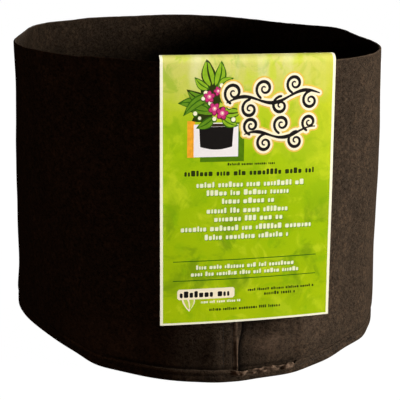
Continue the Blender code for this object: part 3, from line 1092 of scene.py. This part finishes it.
INKS = {
    "paper": (253, 251, 226), "ground": None, "black": (24, 21, 20), "ink": (44, 58, 12),
    "soil": (58, 44, 34), "snow": (246, 242, 244), "white": (238, 244, 206), "cream": (250, 248, 214),
    "halo": (254, 243, 212), "orange_glow": (238, 203, 84), "orange": (253, 176, 44), "moss": (84, 128, 8),
    "fern": (52, 104, 14), "leaf": (146, 190, 38), "deep_leaf": (104, 152, 30), "lime": (198, 222, 74),
    "plum": (122, 22, 66), "pink": (208, 52, 124), "rose": (244, 150, 182),
}
SHEET_COLUMNS = [CARD_WIDTH * i / 26 for i in range(27)]
SHEET_ROWS = ([LEAF * i / 24 for i in range(24)] + [LEAF + FOLD * i / 24 for i in range(25)]
              + [LEAF + FOLD + 0.019, LEAF + FOLD + 0.038, SHEET_LENGTH])


def inside(outline, points):
    """Which points lie inside an outline, which may cross itself."""
    turns = np.zeros(len(points), int)
    x, y = points[:, 0], points[:, 1]
    for (ax, ay), (bx, by) in zip(outline, outline[1:] + outline[:1]):
        left = (bx - ax) * (y - ay) - (by - ay) * (x - ax)
        turns += (ay <= y) & (by > y) & (left > 0)
        turns -= (ay > y) & (by <= y) & (left < 0)
    return turns != 0


def triangulate(shapes):
    """Cut the flat sheet into triangles that follow every printed outline, and give each its ink."""
    points, edges = [], []
    for u in SHEET_COLUMNS:
        points += [(u, 0), (u, SHEET_LENGTH)]
    for v in SHEET_ROWS:
        points += [(0, v), (CARD_WIDTH, v)]
    edges += [(i, i + 1) for i in range(0, len(points), 2)]
    for _, outline in shapes:
        start, count = len(points), len(outline)
        points += [(u * MM, v * MM) for u, v in outline]
        edges += [(start + i, start + (i + 1) % count) for i in range(count)]
    found = geometry.delaunay_2d_cdt([Vector(p) for p in points], edges, [], 0, 1e-6)
    flat = np.array([tuple(p) for p in found[0]])
    triangles = np.array([tuple(t) for t in found[2]])
    middles = flat[triangles].mean(axis=1) / MM
    inks = np.full(len(triangles), "paper", dtype=object)
    for ink, outline in shapes:
        corners = np.array(outline)
        low, high = corners.min(axis=0), corners.max(axis=0)
        near = np.where(((middles > low) & (middles < high)).all(axis=1))[0]
        inks[near[inside([tuple(c) for c in corners], middles[near])]] = ink
    return flat, triangles, inks


def build_card(materials):
    """The printed card: the print's triangles in front, plain quads behind, and cut edges between."""
    flat, triangles, inks = triangulate(draw_label())
    names = list(materials)
    front = [on_card(u, v, 1) for u, v in flat]
    count = len(flat)
    faces, slots = [], []
    for (a, b, c), ink in zip(triangles, inks):
        ab, ac = flat[b] - flat[a], flat[c] - flat[a]
        faces.append((a, b, c) if ab[0] * ac[1] - ab[1] * ac[0] > 0 else (a, c, b))
        slots.append(names.index(ink))

    across, up = len(SHEET_COLUMNS), len(SHEET_ROWS)
    back_flat = [(u, v) for v in SHEET_ROWS for u in SHEET_COLUMNS]
    back = [on_card(u, v, 0) for u, v in back_flat]
    for j in range(up - 1):
        for i in range(across - 1):
            a = count + j * across + i
            faces.append((a, a + across, a + across + 1, a + 1))
            slots.append(names.index("paper_back"))
    rim = [(i, 0) for i in range(across)] + [(across - 1, j) for j in range(1, up)]
    rim += [(i, up - 1) for i in range(across - 2, -1, -1)] + [(0, j) for j in range(up - 2, 0, -1)]
    ring = []
    for i, j in rim:
        corner = np.array([SHEET_COLUMNS[i], SHEET_ROWS[j]])
        ring.append((int(np.abs(flat - corner).sum(axis=1).argmin()), count + j * across + i))
    for (fa, ba), (fb, bb) in zip(ring, ring[1:] + ring[:1]):
        faces.append((fb, fa, ba, bb))
        slots.append(names.index("paper"))
    piece = new_piece("printed_card", front + back, faces, list(materials.values()), slots, sharp=40)
    add_uv(piece, np.concatenate([flat, np.array(back_flat)]))
    return piece


# ======== build


def stand_in(piece, node, body="bag"):
    """Show a piece in place of its CAD node, on the body it moves with."""
    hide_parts(node)
    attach(piece, body)
    return piece


def card_materials():
    """The inks by name, and the card's plain back."""
    inks = {}
    for name, rgb in INKS.items():
        if rgb is None:
            inks[name] = wash_material("print_ground")
        else:
            inks[name] = print_material(f"print_{name}", srgb(*rgb), blotch=0.03 if min(rgb) > 200 else 0.14)
    inks["paper_back"] = print_material("card_back", srgb(226, 224, 214), roughness=0.7)
    return inks


def build():
    """Every piece in place of its CAD node; gives back the card."""
    felt = felt_material("black_felt")
    edge = felt_material("felt_cut_edge", tone=1.35, fuzz=1.6)
    thread = thread_material("black_thread")
    wall = stand_in(build_wall(felt, edge), "wall_panel")
    base = stand_in(build_base(felt, edge), "base_panel")
    sides = (("needle", True), ("bobbin", False))
    for row, from_edge in enumerate(SEAM_ROWS, start=1):
        for side, outside in sides:
            stitches = build_side_stitches(f"{side}_stitches_{row}", from_edge, outside, thread)
            stand_in(stitches, f"side_seam_{side}_thread_{row}")
    for side, outside in sides:
        stitches = build_base_stitches(f"base_{side}_stitches", outside, thread)
        stand_in(stitches, f"base_seam_{side}_thread")
    card = stand_in(build_card(card_materials()), "label_card", "label")

    return card


# ======== floor, light and camera

# Soft square lights that look at the bag: degrees from the front and up, distance, size, power, colour.
LIGHTS = {
    "key": (78, 6, 1.7, 0.8, 27, (1, 0.91, 0.83)),
    "fill": (-30, 0, 2.6, 0.8, 4.3, (1, 0.59, 0.4)),
    "back": (175, 2, 2.4, 0.7, 25, (1, 0.85, 0.74)),
    "card_light": (15, 41, 2.4, 1.4, 51, (1, 0.99, 0.96)),
}
LOOK_AT = Vector((0, 0, 0.2))
OVERHEAD_HEIGHT = 1.9
CAMERA_PLACE = Vector((0.0485, -6, 2.3108)) * BAG_RADIUS  # from the bag's middle line on the ground
CAMERA_DOWN = radians(15.62)
CAMERA_ROLL = radians(1.156)
CAMERA_LENS = 98.24
FLOOR_DROP = 0.0002


def area_light(name, azimuth, elevation, distance, size, power, colour):
    a, e = radians(azimuth), radians(elevation)
    back = Vector((sin(a) * cos(e), -cos(a) * cos(e), sin(e)))
    data = bpy.data.lights.new(name, "AREA")
    data.shape = "SQUARE"
    data.size = size
    data.energy = power
    data.color = colour
    light = link(name, data)
    light.location = LOOK_AT + back * distance
    light.rotation_euler = back.to_track_quat("Z", "Y").to_euler()
    return light


def add_lights(card):
    """The studio's lights, one of them for the card alone, and a lamp overhead for the bag's floor."""
    lights = {name: area_light(name, *values) for name, values in LIGHTS.items()}
    card_only = bpy.data.collections.new("card_only")
    card_only.objects.link(card)
    lights["card_light"].light_linking.receiver_collection = card_only
    lamp = bpy.data.lights.new("overhead", "SPOT")
    lamp.energy = 60
    lamp.spot_size = radians(12.5)
    lamp.spot_blend = 0.7
    lamp.shadow_soft_size = 0.06
    link("overhead", lamp).location = (AXIS[0], AXIS[1], OVERHEAD_HEIGHT)


def add_floor():
    """A white floor that lights nothing itself."""
    m = Nodes("white_floor", roughness=0.9, specular=0)
    m.set(Base_Color=(0.1, 0.1, 0.1, 1), Emission_Color=WHITE, Emission_Strength=1)
    corners = [(x, y, -FLOOR_DROP) for x, y in ((-30, -30), (30, -30), (30, 30), (-30, 30))]
    floor = new_piece("floor", corners, [(0, 1, 2, 3)], [m.mat])
    floor.visible_diffuse = False
    floor.visible_glossy = False


def add_world():
    """White all round, for the camera only."""
    scene = bpy.context.scene
    world = bpy.data.worlds.new("white_studio")
    world.use_nodes = True
    world.node_tree.nodes["Background"].inputs["Color"].default_value = WHITE
    world.cycles_visibility.diffuse = False
    world.cycles_visibility.glossy = False
    scene.world = world
    scene.view_settings.view_transform = "Standard"


def add_camera():
    """The photographer's place: a little right of the bag's middle line, looking down at it."""
    data = bpy.data.cameras.new("camera")
    data.sensor_width = 36
    data.lens = CAMERA_LENS
    camera = link("camera", data)
    camera.location = Vector(AXIS) + CAMERA_PLACE
    look_down = Matrix.Rotation(pi / 2 - CAMERA_DOWN, 4, "X")
    camera.rotation_euler = (look_down @ Matrix.Rotation(CAMERA_ROLL, 4, "Z")).to_euler()
    bpy.context.scene.camera = camera


card = build()
add_world()
add_floor()
add_lights(card)
add_camera()
